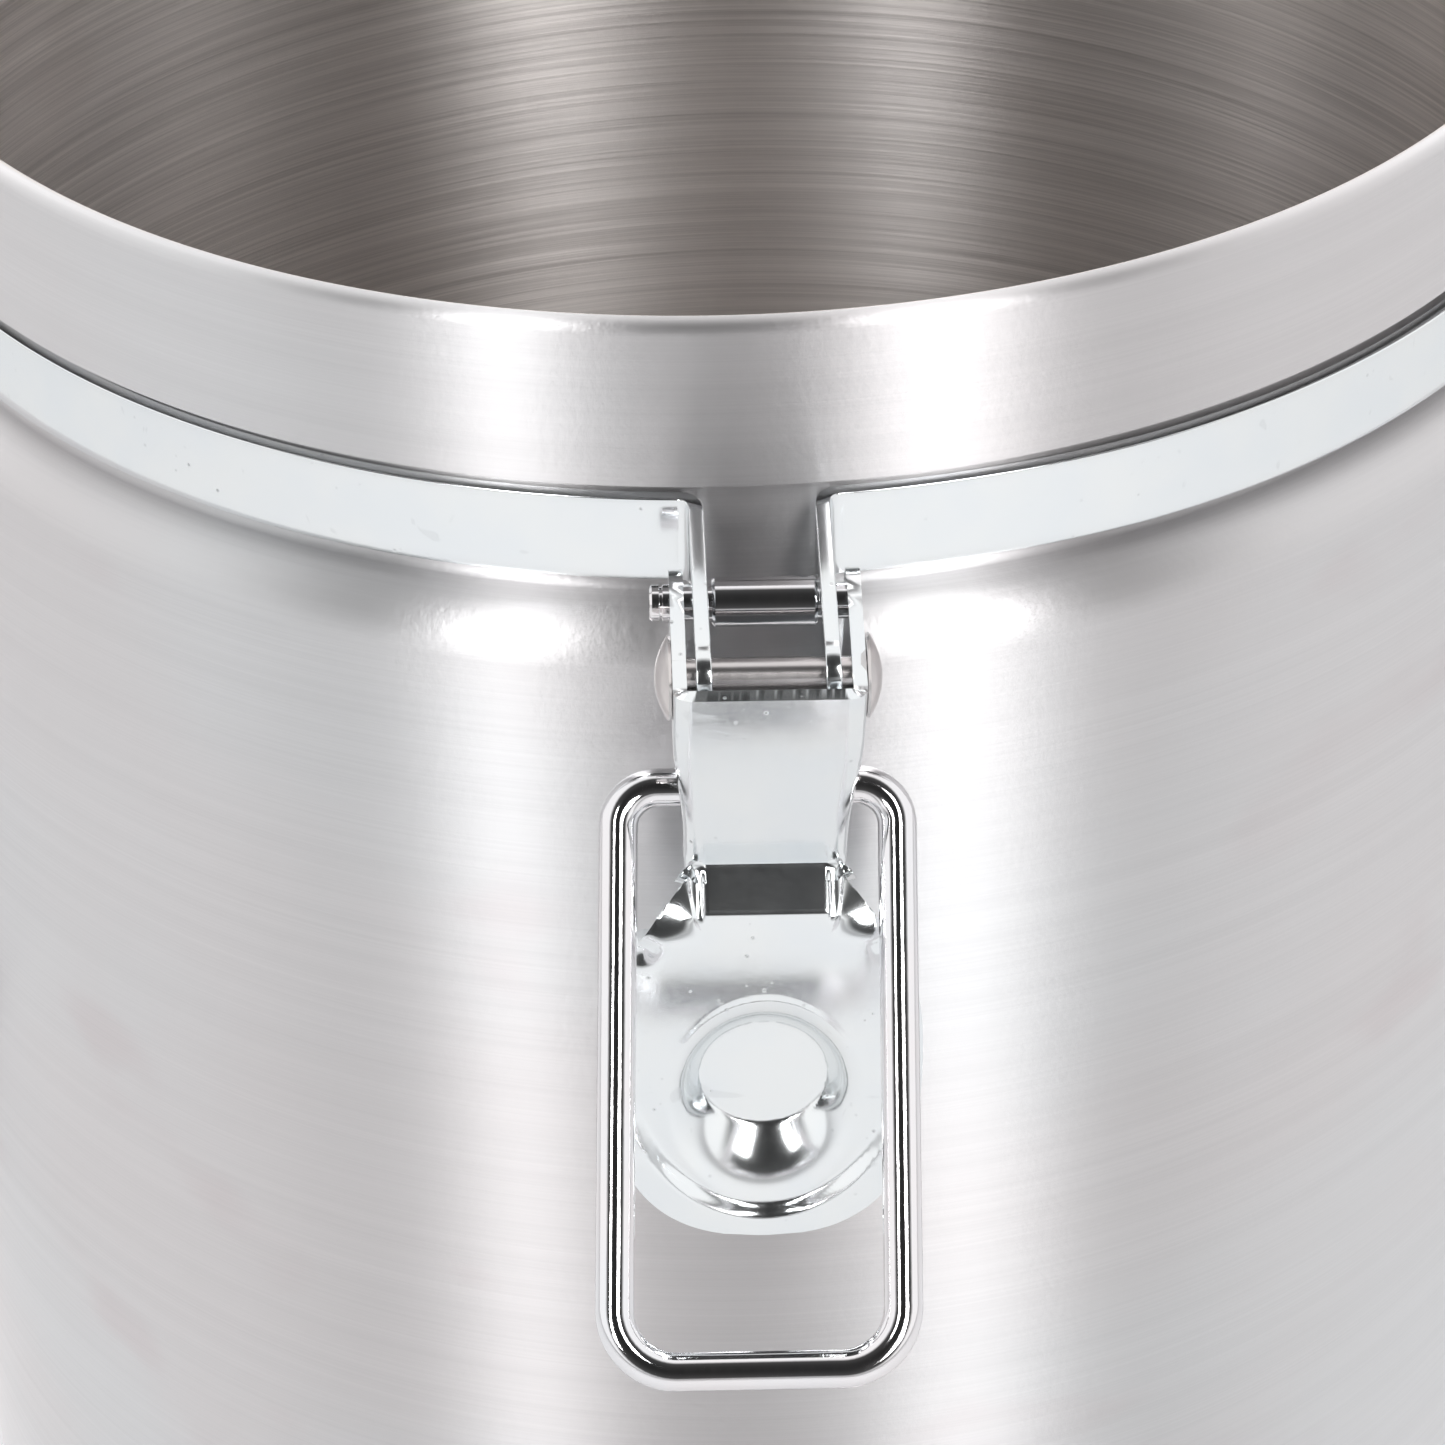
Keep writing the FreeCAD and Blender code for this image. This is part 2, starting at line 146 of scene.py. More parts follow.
def roundGrain(finish, around, along):
    # coordinates whose noise runs in long lines round the axis
    flat = finish.add("ShaderNodeSeparateXYZ", None, {"Vector": finish.where()}, "X")
    split = flat.socket.node
    x, y, z = (Signal(finish, split.outputs[axis]) for axis in "XYZ")
    reach = (x * x + y * y) ** 0.5
    return finish.add("ShaderNodeCombineXYZ", None,
                      {"X": x * around, "Y": y * around, "Z": (z + reach) * along}, "Vector")


# shapes

def roundedPath(points, radii, steps=8):
    # keeps the ends of an open path and turns each inner corner into an arc
    path = [Vector(points[0])]
    for before, at, after, radius in zip(points, points[1:], points[2:], radii):
        before, at, after = Vector(before), Vector(at), Vector(after)
        toBefore = (before - at).normalized()
        toAfter = (after - at).normalized()
        half = toBefore.angle(toAfter) / 2
        centre = at + (toBefore + toAfter).normalized() * (radius / sin(half))
        first = at + toBefore * (radius / tan(half)) - centre
        last = at + toAfter * (radius / tan(half)) - centre
        turn = first.angle(last)
        for step in range(steps + 1):
            share = step / steps
            spread = (first * sin((1 - share) * turn) + last * sin(share * turn)) / sin(turn)
            path.append(centre + spread)
    path.append(Vector(points[-1]))
    return path


def sideOf(path, thickness):
    # moves a path in the X-Z plane to its left by the sheet's thickness
    moved = []
    for index, point in enumerate(path):
        before = path[max(index - 1, 0)]
        after = path[min(index + 1, len(path) - 1)]
        way = (after - before).normalized()
        moved.append(point + Vector((-way.z, 0, way.x)) * thickness)
    return moved


def sheetRing(points, radii, thickness, steps=8):
    # the closed section of a bent sheet: its right side, then its left side back
    right = roundedPath([Vector((r, 0, z)) for r, z in points], radii, steps)
    left = sideOf(right, thickness)
    return right, left[::-1]


def newPiece(name, mesh, materials):
    piece = bpy.data.objects.new(name, mesh)
    bpy.context.scene.collection.objects.link(piece)
    for material in materials if isinstance(materials, (list, tuple)) else [materials]:
        mesh.materials.append(material)
    return piece


def smoothed(mesh, angle=38):
    mesh.shade_smooth()
    mesh.set_sharp_from_angle(angle=radians(angle))


def meshFrom(name, points, faces, slotOf=None):
    mesh = bpy.data.meshes.new(name)
    mesh.from_pydata([tuple(p) for p in points], [], faces)
    if slotOf:
        for polygon, slot in zip(mesh.polygons, slotOf):
            polygon.material_index = slot
    work = bmesh.new()
    work.from_mesh(mesh)
    bmesh.ops.remove_doubles(work, verts=work.verts, dist=1e-7)
    bmesh.ops.dissolve_degenerate(work, edges=work.edges, dist=1e-8)
    bmesh.ops.recalc_face_normals(work, faces=work.faces)
    work.to_mesh(mesh)
    work.free()
    return mesh


def lathed(name, ring, materials, segments=256, slotOf=None, angle=38):
    # spins a closed ring of (radius, height) points about the can's axis
    points, faces, slots = [], [], []
    count = len(ring)
    for turn in range(segments):
        a = 2 * pi * turn / segments
        for p in ring:
            points.append((p.x * cos(a), p.x * sin(a), p.z))
    for turn in range(segments):
        here, there = turn * count, (turn + 1) % segments * count
        for k in range(count):
            n = (k + 1) % count
            if max(ring[k].x, ring[n].x) > 1e-9:
                faces.append((here + k, there + k, there + n, here + n))
                slots.append(slotOf[k] if slotOf else 0)
    mesh = meshFrom(name, points, faces, slots)
    smoothed(mesh, angle)
    return newPiece(name, mesh, materials)


def turnedOn(name, start, way, outline, materials, segments=64, angle=38):
    # spins an open outline of (along, radius) steps about a line; both ends are closed
    way = Vector(way).normalized()
    side = way.orthogonal().normalized()
    other = way.cross(side)
    points, faces = [], []
    count = len(outline)
    for turn in range(segments):
        a = 2 * pi * turn / segments
        out = side * cos(a) + other * sin(a)
        for along, radius in outline:
            points.append(Vector(start) + way * along + out * radius)
    for turn in range(segments):
        here, there = turn * count, (turn + 1) % segments * count
        for k in range(count - 1):
            faces.append((here + k, there + k, there + k + 1, here + k + 1))
    for k in (0, count - 1):
        if outline[k][1] > 1e-9:
            faces.append([turn * count + k for turn in range(segments)])
    mesh = meshFrom(name, points, faces)
    smoothed(mesh, angle)
    return newPiece(name, mesh, materials)


def grid(name, rows, materials):
    # joins rows of points into a sheet
    points = [p for row in rows for p in row]
    width = len(rows[0])
    faces = []
    for r in range(len(rows) - 1):
        for c in range(width - 1):
            a = r * width + c
            faces.append((a, a + 1, a + width + 1, a + width))
    mesh = bpy.data.meshes.new(name)
    mesh.from_pydata([tuple(p) for p in points], [], faces)
    work = bmesh.new()
    work.from_mesh(mesh)
    bmesh.ops.remove_doubles(work, verts=work.verts, dist=2e-6)
    work.to_mesh(mesh)
    work.free()
    return newPiece(name, mesh, materials)


def madeReal(piece, angle=38):
    # turns a piece with modifiers into a plain mesh
    bpy.context.view_layer.update()
    made = bpy.data.meshes.new_from_object(piece.evaluated_get(bpy.context.evaluated_depsgraph_get()))
    piece.modifiers.clear()
    piece.data = made
    work = bmesh.new()
    work.from_mesh(made)
    bmesh.ops.recalc_face_normals(work, faces=work.faces)
    work.to_mesh(made)
    work.free()
    smoothed(made, angle)
    return piece


def thickened(piece, thickness, offset=-1.0, edge=0.25 * mm, angle=38, even=True):
    solid = piece.modifiers.new("sheet", "SOLIDIFY")
    solid.thickness = thickness
    solid.offset = offset
    solid.use_even_offset = even
    if edge:
        bevel = piece.modifiers.new("edge", "BEVEL")
        bevel.width = edge
        bevel.segments = 3
        bevel.limit_method = "ANGLE"
        bevel.angle_limit = radians(55)
    return madeReal(piece, angle)


def nodeTool(name, sockets):
    # an empty node group with named inputs
    group = bpy.data.node_groups.new(name, "GeometryNodeTree")
    group.interface.new_socket("Geometry", in_out="OUTPUT", socket_type="NodeSocketGeometry")
    group.interface.new_socket("Geometry", in_out="INPUT", socket_type="NodeSocketGeometry")
    for label, kind in sockets:
        group.interface.new_socket(label, in_out="INPUT", socket_type="NodeSocket" + kind)
    return group, group.nodes.new("NodeGroupInput")


def finishedTool(group, given, made):
    # real geometry, then its material
    real = group.nodes.new("GeometryNodeRealizeInstances")
    coat = group.nodes.new("GeometryNodeSetMaterial")
    out = group.nodes.new("NodeGroupOutput")
    group.links.new(made, real.inputs["Geometry"])
    group.links.new(real.outputs["Geometry"], coat.inputs["Geometry"])
    group.links.new(given.outputs["Material"], coat.inputs["Material"])
    group.links.new(coat.outputs["Geometry"], out.inputs["Geometry"])
    return group


def wireAlongPath():
    kinds = [("Radius", "Float"), ("Ring", "Int"), ("Capped", "Bool"), ("Material", "Material")]
    group, given = nodeTool("wireAlongPath", kinds)
    line = group.nodes.new("GeometryNodeMeshToCurve")
    ring = group.nodes.new("GeometryNodeCurvePrimitiveCircle")
    sweep = group.nodes.new("GeometryNodeCurveToMesh")
    group.links.new(given.outputs["Geometry"], line.inputs["Mesh"])
    group.links.new(given.outputs["Radius"], ring.inputs["Radius"])
    group.links.new(given.outputs["Ring"], ring.inputs["Resolution"])
    group.links.new(line.outputs["Curve"], sweep.inputs["Curve"])
    group.links.new(ring.outputs["Curve"], sweep.inputs["Profile Curve"])
    group.links.new(given.outputs["Capped"], sweep.inputs["Fill Caps"])
    return finishedTool(group, given, sweep.outputs["Mesh"])


def rivetsOnPlaces():
    group, given = nodeTool("rivetsOnPlaces", [("Rivet", "Object"), ("Material", "Material")])
    one = group.nodes.new("GeometryNodeObjectInfo")
    outward = group.nodes.new("GeometryNodeInputNamedAttribute")
    outward.data_type = "FLOAT_VECTOR"
    outward.inputs["Name"].default_value = "outward"
    turn = group.nodes.new("FunctionNodeAlignRotationToVector")
    turn.axis = "Z"
    spread = group.nodes.new("GeometryNodeInstanceOnPoints")
    group.links.new(given.outputs["Rivet"], one.inputs["Object"])
    group.links.new(one.outputs["Geometry"], spread.inputs["Instance"])
    group.links.new(given.outputs["Geometry"], spread.inputs["Points"])
    group.links.new(outward.outputs["Attribute"], turn.inputs["Vector"])
    group.links.new(turn.outputs["Rotation"], spread.inputs["Rotation"])
    return finishedTool(group, given, spread.outputs["Instances"])


wireTool, rivetTool = wireAlongPath(), rivetsOnPlaces()


def madeByNodes(name, mesh, tool, values, angle):
    piece = newPiece(name, mesh, [])
    modifier = piece.modifiers.new("nodes", "NODES")
    modifier.node_group = tool
    for item in tool.interface.items_tree:
        if item.in_out == "INPUT" and item.name in values:
            modifier[item.identifier] = values[item.name]
    return madeReal(piece, angle)


def tube(name, path, radius, material, closed=False, ring=40):
    mesh = bpy.data.meshes.new(name + "Line")
    edges = [(k, k + 1) for k in range(len(path) - 1)] + ([(len(path) - 1, 0)] if closed else [])
    mesh.from_pydata([tuple(place) for place in path], edges, [])
    values = {"Radius": radius, "Ring": ring, "Capped": not closed, "Material": material}
    return madeByNodes(name, mesh, wireTool, values, 50)


def riveted(name, outline, places, ways, material):
    # the same rivet on every place, pointing outwards
    rivet = turnedOn(name + "One", Vector((0, 0, 0)), (0, 0, 1), outline, [material], 48, 50)
    mesh = bpy.data.meshes.new(name + "Places")
    mesh.from_pydata([tuple(place) for place in places], [], [])
    outward = mesh.attributes.new("outward", "FLOAT_VECTOR", "POINT")
    for point, way in zip(outward.data, ways):
        point.vector = way
    piece = madeByNodes(name, mesh, rivetTool, {"Rivet": rivet, "Material": material}, 50)
    bpy.data.objects.remove(rivet)
    return piece


def keep(piece, body, slot, *replaced):
    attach(piece, body)
    if replaced:
        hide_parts(*replaced)
    return piece


# finishes

def satinSteel(name, look):
    # brushed steel whose grain runs round the can
    f = Finish(name)
    lines = f.noise(roundGrain(f, look["around"], look["along"]), 1.0, 5.0, 0.65)
    broad = f.noise(roundGrain(f, look["around"] * 0.35, look["along"] * 0.16), 1.0, 3.0, 0.5)
    speck = f.noise(f.stretched((look["speck"],) * 3), 1.0, 2.0, 0.6)
    cloud = f.noise(f.stretched((9.0, 9.0, 9.0)), 1.0, 3.0, 0.5)
    blotch = f.noise(f.stretched((22.0, 22.0, 30.0), location=(3.1, 0.7, 0.0)), 1.0, 2.0, 0.5)
    stain = f.step(blotch, 0.62, 0.74)
    pale = f.blend(f.step(cloud, 0.35, 0.65), look["cool"], look["warm"])
    stained = f.blend(stain * look["stain"], pale, look["stainColour"])
    shade = f.step(lines * look["lineShade"] + broad * 0.25 + (0.375 - look["lineShade"] / 2), 0.25, 0.75)
    colour = f.blend((1.0 - shade) * look["contrast"], stained, (0.0, 0.0, 0.0))
    rough = lines * look["roughLines"] + cloud * 0.06 + (look["rough"] - look["roughLines"] / 2 - 0.03)
    height = lines * look["lineHeight"] + speck * look["speckHeight"]
    return f.surface(Base_Color=colour, Metallic=1.0, Roughness=rough, Anisotropic=look["aniso"],
                     Anisotropic_Rotation=0.25, Normal=f.bump(height, look["depth"]))


outerLook = {"around": 10.0, "along": 2600.0, "speck": 900.0,
             "cool": (0.80, 0.80, 0.81), "warm": (0.80, 0.775, 0.78),
             "stain": 0.35, "stainColour": (0.72, 0.64, 0.65), "lineShade": 0.5, "contrast": 0.10,
             "roughLines": 0.10, "rough": 0.43, "lineHeight": 0.6, "speckHeight": 0.5, "depth": 0.00003,
             "aniso": 0.96}
innerLook = {"around": 9.0, "along": 1500.0, "speck": 700.0,
             "cool": (0.93, 0.89, 0.87), "warm": (0.90, 0.85, 0.82),
             "stain": 0.15, "stainColour": (0.6, 0.53, 0.49), "lineShade": 0.9, "contrast": 0.30,
             "roughLines": 0.16, "rough": 0.40, "lineHeight": 1.0, "speckHeight": 0.2, "depth": 0.00006,
             "aniso": 0.96}
outerSteel = satinSteel("outerSatin", outerLook)
innerSteel = satinSteel("innerBrushed", innerLook)


def zincPlate(name, look):
    # bright plating with small pits, scratches and a slight wave left by the press
    f = Finish(name)
    wave = f.noise(f.stretched((90.0, 90.0, 90.0)), 1.0, 2.0, 0.5)
    fine = f.noise(f.stretched((1400.0, 1400.0, 1400.0)), 1.0, 3.0, 0.6)
    pitCells = f.spots(f.stretched((420.0, 420.0, 420.0)), 1.0)
    patches = f.noise(f.stretched((70.0, 70.0, 70.0), location=(5.0, 2.0, 1.0)), 1.0, 3.0, 0.6)
    patch = f.step(patches, 0.48, 0.66)
    pits = (1.0 - f.step(pitCells, 0.05, 0.16)) * patch
    scratchNoise = f.noise(f.stretched((60.0, 900.0, 260.0), rotation=(0.3, 0.5, 0.9)), 1.0, 2.0, 0.4, 0.4)
    scratch = f.step(scratchNoise, 0.70, 0.74)
    tint = f.blend(f.step(wave, 0.3, 0.7), look["cool"], look["warm"])
    colour = f.blend(pits * 0.55 + scratch * 0.10, tint, look["pit"])
    rough = fine * 0.06 + wave * 0.05 + pits * 0.25 + scratch * 0.10 + (look["rough"] - 0.055)
    height = wave * 0.35 + fine * 0.02 - pits * 0.25 - scratch * 0.06
    return f.surface(Base_Color=colour, Metallic=1.0, Roughness=rough, Normal=f.bump(height, look["depth"]))


plateLook = {"cool": (0.83, 0.86, 0.88), "warm": (0.86, 0.88, 0.885), "pit": (0.30, 0.31, 0.32),
             "rough": 0.13, "depth": 0.00010}
zinc = zincPlate("zincPlate", plateLook)


def polishedSteel(name, look):
    f = Finish(name)
    drawn = f.noise(f.stretched(look["stretch"]), 1.0, 3.0, 0.6)
    soft = f.noise(f.stretched((60.0, 60.0, 60.0)), 1.0, 2.0, 0.5)
    colour = f.blend(f.step(soft, 0.3, 0.7), look["cool"], look["warm"])
    rough = drawn * 0.05 + soft * 0.03 + (look["rough"] - 0.04)
    return f.surface(Base_Color=colour, Metallic=1.0, Roughness=rough,
                     Normal=f.bump(drawn * 0.3 + soft * 0.7, look["depth"]))


wireLook = {"stretch": (900.0, 200.0, 200.0), "cool": (0.84, 0.84, 0.86), "warm": (0.86, 0.83, 0.84),
            "rough": 0.07, "depth": 0.00004}
rivetLook = {"stretch": (500.0, 500.0, 500.0), "cool": (0.66, 0.63, 0.63), "warm": (0.70, 0.66, 0.65),
             "rough": 0.24, "depth": 0.00006}
stripLook = {"stretch": (40.0, 900.0, 900.0), "cool": (0.70, 0.70, 0.71), "warm": (0.72, 0.70, 0.70),
             "rough": 0.30, "depth": 0.00006}
polished = polishedSteel("polishedWire", wireLook)
fastener = polishedSteel("rivetSteel", rivetLook)
strip = polishedSteel("stripSteel", stripLook)


def siliconeSkin():
    f = Finish("milkySilicone")
    cloud = f.noise(f.stretched((40.0, 40.0, 40.0)), 1.0, 3.0, 0.5)
    grain = f.noise(f.stretched((1500.0, 1500.0, 1500.0)), 1.0, 2.0, 0.5)
    colour = f.blend(cloud, (0.78, 0.78, 0.75), (0.86, 0.86, 0.84))
    return f.surface(Base_Color=colour, Roughness=grain * 0.1 + 0.42, Normal=f.bump(grain, 0.00005))


silicone = siliconeSkin()
print("finishes ready")


# can: one sheet from the foot to the rolled, hemmed mouth

can = {"sheet": 1.0, "neck": 125.4, "hem": 3.6, "hemDrop": 24.2, "shoulderDrop": 41.0, "shoulderFall": 2.0,
       "shoulderBend": 7.0, "neckBend": 1.5, "start": 4.2, "insideEdge": 0.4, "segments": 512}


def makeCan(look):
    t = look["sheet"] * mm
    neck = look["neck"] * mm
    hemInside = neck - 2 * t + look["hem"] * mm
    curl = (hemInside - neck) / 2 - 0.01 * mm
    shoulder = rim - look["shoulderDrop"] * mm
    corners = [
        (bodyRadius, look["start"] * mm),
        (bodyRadius, shoulder - look["shoulderFall"] * mm),
        (neck, shoulder),
        (neck, rim - t),
        (hemInside, rim - t),
        (hemInside, rim - look["hemDrop"] * mm),
    ]
    bends = [look["shoulderBend"] * mm, look["neckBend"] * mm, curl, curl]
    right, left = sheetRing(corners, bends, t, 12)
    ring = right + left
    slots = []
    for k, p in enumerate(ring):
        n = ring[(k + 1) % len(ring)]
        inside = (p.x + n.x) / 2 < neck + look["insideEdge"] * mm or p.z < shoulder
        slots.append(1 if k >= len(right) and inside else 0)
    return lathed("CanShell", ring, [outerSteel, innerSteel], look["segments"], slots, 50)


keep(makeCan(can), "can", "satin_steel", "can_shell")


bottom = {"sheet": 1.0, "bend": 5.0}


def makeBottom(look):
    low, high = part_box("can_bottom")
    corners = [(high.x, low.z), (high.x, high.z), (0.0, high.z)]
    right, left = sheetRing(corners, [look["bend"] * mm], look["sheet"] * mm, 10)
    return lathed("CanBottom", right + left, [innerSteel], 256, None, 40)


keep(makeBottom(bottom), "can", "satin_steel", "can_bottom")


foot = {"sheet": 2.0, "flange": 12.0, "bend": 3.5}


def makeFoot(look):
    low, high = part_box("foot_ring")
    t, flange = look["sheet"] * mm, look["flange"] * mm
    corners = [(high.x - flange, low.z), (high.x, low.z), (high.x, high.z)]
    right, left = sheetRing(corners, [look["bend"] * mm], t, 10)
    last = right.pop()
    lipAt = Vector((last.x - t / 2, 0, last.z - t / 2))
    lip = [lipAt + Vector((cos(pi * k / 8), 0, sin(pi * k / 8))) * (t / 2) for k in range(9)]
    left.pop(0)
    return lathed("FootRing", right + lip + left, [outerSteel], 320, None, 40)


keep(makeFoot(foot), "can", "satin_steel", "foot_ring")
print("can ready")


# clamp band: two strips, each bent out into an ear at both ends

clampBand = {"topDrop": 26.2, "height": 12.4, "sheet": 2.0, "inside": 125.8, "slack": 2.0, "earGap": 7.2,
             "earBend": 1.6, "lobe": 5.0, "pinSeat": 2.8, "rearLobe": 7.0, "heel": 13.0, "heelGap": 1.8,
             "heelCut": 3.0, "heelAngle": 115.0, "slackRun": 40.0, "seatSpan": 7.0, "seatLip": 0.8,
             "seatFall": 0.9, "pinBack": 12.8, "pinRise": 3.0}
leverPivot = jointPlace["lever_pivot"]
hingePlace = jointPlace["lid_hinge"]
askew = Matrix.Rotation(asin(jointAxis["lever_pivot"].z), 3, "Y")   # how the latch hangs on its rivet
bailPivot = leverPivot + askew.inverted() @ (jointPlace["bail_swing"] - leverPivot)
pinPlace = leverPivot + Vector((0, clampBand["pinBack"], clampBand["pinRise"])) * mm


def circleHeight(radius, away):
    return sqrt(max(radius * radius - away * away, 0.0))


def makeBand(name, side, look):
    # rows run from the rear ear round the neck to the front ear, each from its bottom edge to its top
    t, bend, gap = look["sheet"] * mm, look["earBend"] * mm, look["earGap"] * mm
    inside = look["inside"] * mm
    top = rim - look["topDrop"] * mm
    low = top - look["height"] * mm
    shift = look["slack"] * mm if side > 0 else 0.0
    lobe, rearLobe = look["lobe"] * mm, look["rearLobe"] * mm
    turnIn = asin((gap + bend + t) / (inside + t + bend))

    # the heel: where the rear ear stops the open lid
    tilt = radians(look["heelAngle"])
    along = Vector((0, sin(tilt), cos(tilt))) * mm
    below = Vector((0, cos(tilt), -sin(tilt))) * mm
    heelFoot = hingePlace + below * look["heelGap"]
    heelTip = heelFoot + along * look["heel"]
    heelDeep = hingePlace + below * look["rearLobe"]
    heelTurn = heelDeep + along * (look["heel"] - look["heelCut"])

    # the outer face's plan, from the rear to the front
    frontEnd, rearEnd = leverPivot.y - lobe, heelTip.y
    rearY = cos(turnIn) * (inside + t + bend)
    earSteps = [k / 46 for k in range(47)]
    bendAngles = [(pi / 2 - turnIn) * k / 8 for k in range(1, 9)]
    hoopAngles = [(pi / 2 - turnIn) * (1 - k / 110) for k in range(1, 220)]
    rearPart = [(gap + t, rearY + (rearEnd - rearY) * k) for k in earSteps][::-1]
    bendRear = [(gap + t + bend - bend * cos(a), rearY - bend * sin(a)) for a in bendAngles]
    hoop = [((inside + t) * cos(a), (inside + t) * sin(a)) for a in hoopAngles]
    bendFront = [(x, -y) for x, y in bendRear][::-1]
    frontPart = [(gap + t, (frontEnd + rearY) * k - rearY) for k in earSteps]
    plan = rearPart + bendRear + hoop + bendFront + frontPart

    rows = []
    for index, (x, y) in enumerate(plan):
        slack = shift * max(0.0, min(1.0, (x - gap - t) / (look["slackRun"] * mm)))
        z0, z1 = low, top
        if index >= len(plan) - len(frontPart) - 4:
            out = -y - (inside + t)
            share = max(0.0, min(1.0, out / (-leverPivot.y - inside - t)))
            z1 = top + (leverPivot.z + lobe - top) * share
            z0 = low + (leverPivot.z - lobe - low) * share
            seat = abs(y - pinPlace.y)
            if seat < look["seatSpan"] * mm:
                beside = seat - look["pinSeat"] * mm
                notch = pinPlace.z + circleHeight(look["pinSeat"] * mm, seat)
                if beside >= 0:
                    notch = pinPlace.z - look["seatLip"] * mm - beside * look["seatFall"]
                z0 = max(z0, notch)
            if y < leverPivot.y:
                z1 = leverPivot.z + circleHeight(lobe, y - leverPivot.y)
                z0 = leverPivot.z - circleHeight(lobe, y - leverPivot.y)
        if index < len(rearPart) + 4:
            out = y - inside - t
            share = max(0.0, min(1.0, out / (hingePlace.y - inside - t)))
            z1 = top + (hingePlace.z + rearLobe - top) * share
            z0 = low + (hingePlace.z - rearLobe - low) * share
            if y > hingePlace.y:
                heelTop = heelFoot.z + (y - heelFoot.y) / (heelTip.y - heelFoot.y) * (heelTip.z - heelFoot.z)
                z1 = max(heelTop, hingePlace.z + circleHeight(rearLobe, y - hingePlace.y))
                if y < heelTurn.y:
                    z0 = heelDeep.z + (y - heelDeep.y) / (heelTurn.y - heelDeep.y) * (heelTurn.z - heelDeep.z)
                else:
                    rise = heelTip.z - 0.05 * mm - heelTurn.z
                    z0 = heelTurn.z + (y - heelTurn.y) / (heelTip.y - heelTurn.y) * rise
        rows.append([Vector((side * (x + slack), y, z0 + (z1 - z0) * k / 6)) for k in range(7)])
    piece = grid(name, rows, zinc)
    return thickened(piece, t, -1.0 if side > 0 else 1.0, 0.28 * mm)


keep(makeBand("BandRight", 1, clampBand), "can", "zinc_plate", "band_right")
keep(makeBand("BandLeft", -1, clampBand), "can", "zinc_plate", "band_left")
print("band ready")


# lever: a pressed channel that opens out into a dished thumb pad

pressedLever = {
    "sheet": 1.8, "halfWidth": 12.3, "neckHalfWidth": 10.7, "sideBend": 2.4,
    "top": (159.2, 36.5), "webEnd": (150.5, 68.2), "padTop": (155.5, 72.7), "lipReach": 155.5,
    "bottom": (157.3, 125.8), "padHalfWidth": 21.0, "padOutlineTop": 69.5, "padRound": 2.5,
    "rampHalfWidth": 8.0, "rampSide": 0.35,
    "dishDrop": 104.0, "dishHalfWidth": 13.0, "dishHalfHeight": 17.0, "dishFloor": 8.6,
    "dishFloorLift": 1.3, "dishDepth": 4.8, "dishEase": 1.9, "dishBead": 0.12, "beadWidth": 0.5,
    "dimple": (16.4, 78.6), "dimpleDepth": 1.0, "dimpleRadius": 3.0,
    "lipFrom": 0.835, "lipTo": 0.90, "lipStart": 4.0, "lipFull": 16.0, "pinLobe": 4.3, "bailLobe": 5.2,
}


def smoothStep(value, low, high):
    share = max(0.0, min(1.0, (value - low) / (high - low)))
    return share * share * (3 - 2 * share)


def hung(piece):
    # turns a piece of the latch, drawn upright, to where it hangs askew
    turn = Matrix.Translation(leverPivot) @ askew.to_4x4() @ Matrix.Translation(-leverPivot)
    piece.data.transform(turn)
    return piece


